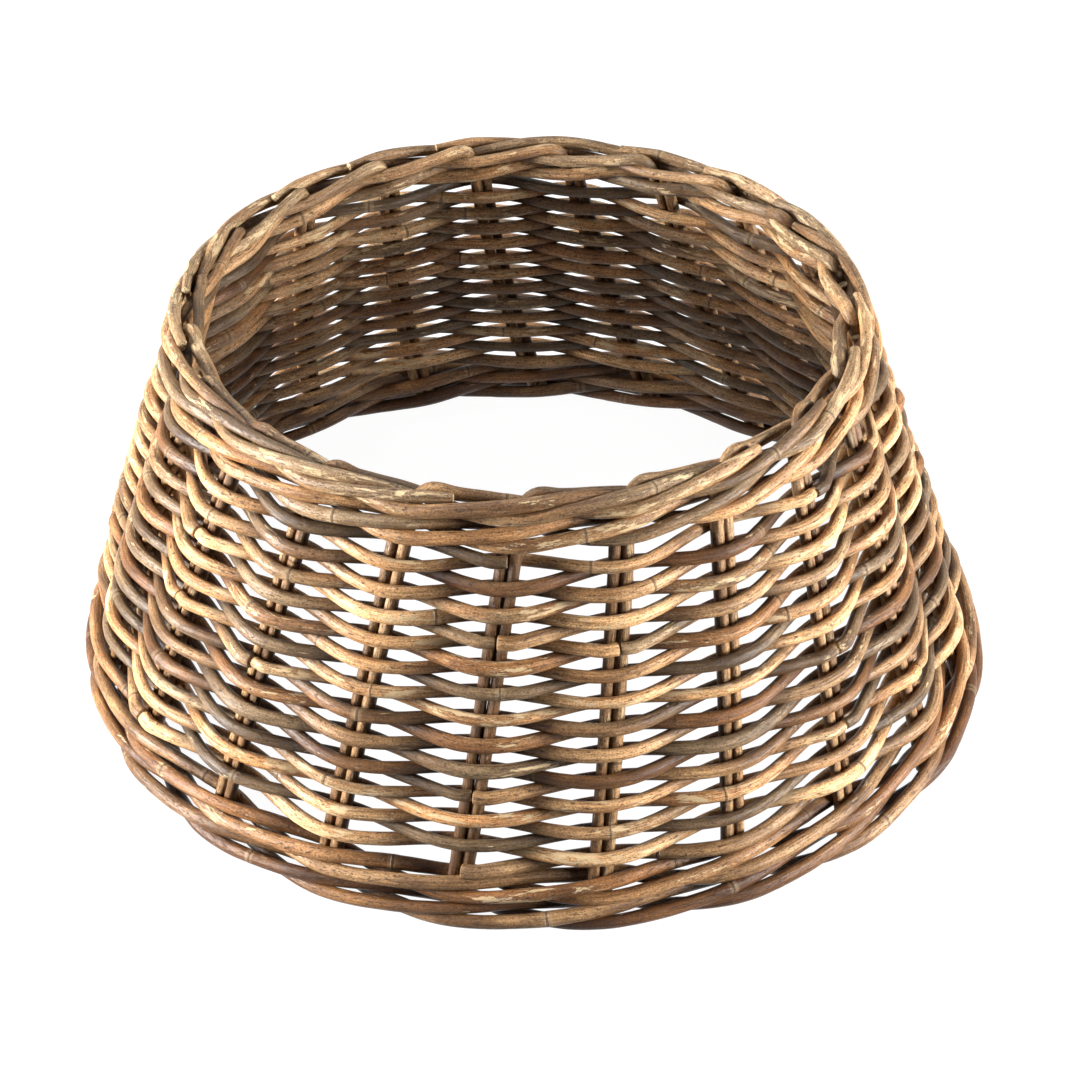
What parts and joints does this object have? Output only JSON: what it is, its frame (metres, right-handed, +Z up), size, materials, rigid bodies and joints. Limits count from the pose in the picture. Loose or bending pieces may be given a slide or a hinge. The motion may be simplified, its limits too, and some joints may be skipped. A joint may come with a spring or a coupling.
{
  "type": "christmas tree collar",
  "caption": "Round tapered collar of woven rattan that stands on the floor round the foot of a christmas tree.",
  "frame": {"origin": "middle of the collar's foot, on the floor it stands on", "axes": "+Z up along the collar's axis, -Y towards the front shown in the picture, +X to the right there"},
  "size_m": [0.6236, 0.6242, 0.2686],
  "materials": {
    "rattan_stake": "satin",
    "rattan_honey": "satin",
    "rattan_tan": "satin",
    "rattan_grey": "matt",
    "rattan_brown": "satin"
  },
  "bodies": {
    "root": {"stake_pair_01": "rattan_stake", "stake_pair_02": "rattan_stake", "stake_pair_03": "rattan_stake", "stake_pair_04": "rattan_stake", "stake_pair_05": "rattan_stake", "stake_pair_06": "rattan_stake", "stake_pair_07": "rattan_stake", "stake_pair_08": "rattan_stake", "stake_pair_09": "rattan_stake", "stake_pair_10": "rattan_stake", "stake_pair_11": "rattan_stake", "stake_pair_12": "rattan_stake", "stake_pair_13": "rattan_stake", "stake_pair_14": "rattan_stake", "stake_pair_15": "rattan_stake", "stake_pair_16": "rattan_stake", "stake_pair_17": "rattan_stake", "stake_pair_18": "rattan_stake", "stake_pair_19": "rattan_stake", "stake_pair_20": "rattan_stake", "stake_pair_21": "rattan_stake", "weaver_01": "rattan_honey", "weaver_02": "rattan_tan", "weaver_03": "rattan_grey", "weaver_04": "rattan_honey", "weaver_05": "rattan_brown", "weaver_06": "rattan_tan", "weaver_07": "rattan_grey", "weaver_08": "rattan_honey", "weaver_09": "rattan_tan", "weaver_10": "rattan_grey", "weaver_11": "rattan_honey", "weaver_12": "rattan_brown", "weaver_13": "rattan_tan", "weaver_14": "rattan_grey", "weaver_15": "rattan_honey", "weaver_16": "rattan_tan", "weaver_17": "rattan_grey", "weaver_18": "rattan_honey", "weaver_19": "rattan_brown", "weaver_20": "rattan_tan", "weaver_21": "rattan_grey", "weaver_22": "rattan_honey", "weaver_23": "rattan_tan", "weaver_24": "rattan_grey", "weaver_25": "rattan_honey", "weaver_26": "rattan_brown", "weaver_27": "rattan_tan", "weaver_28": "rattan_grey", "foot_border_a": "rattan_brown", "foot_border_b": "rattan_tan", "foot_border_c": "rattan_honey", "foot_wale_a": "rattan_tan", "foot_wale_b": "rattan_honey", "foot_wale_c": "rattan_brown", "top_wale_a": "rattan_grey", "top_wale_b": "rattan_tan", "top_wale_c": "rattan_honey"}
  },
  "joints": []
}
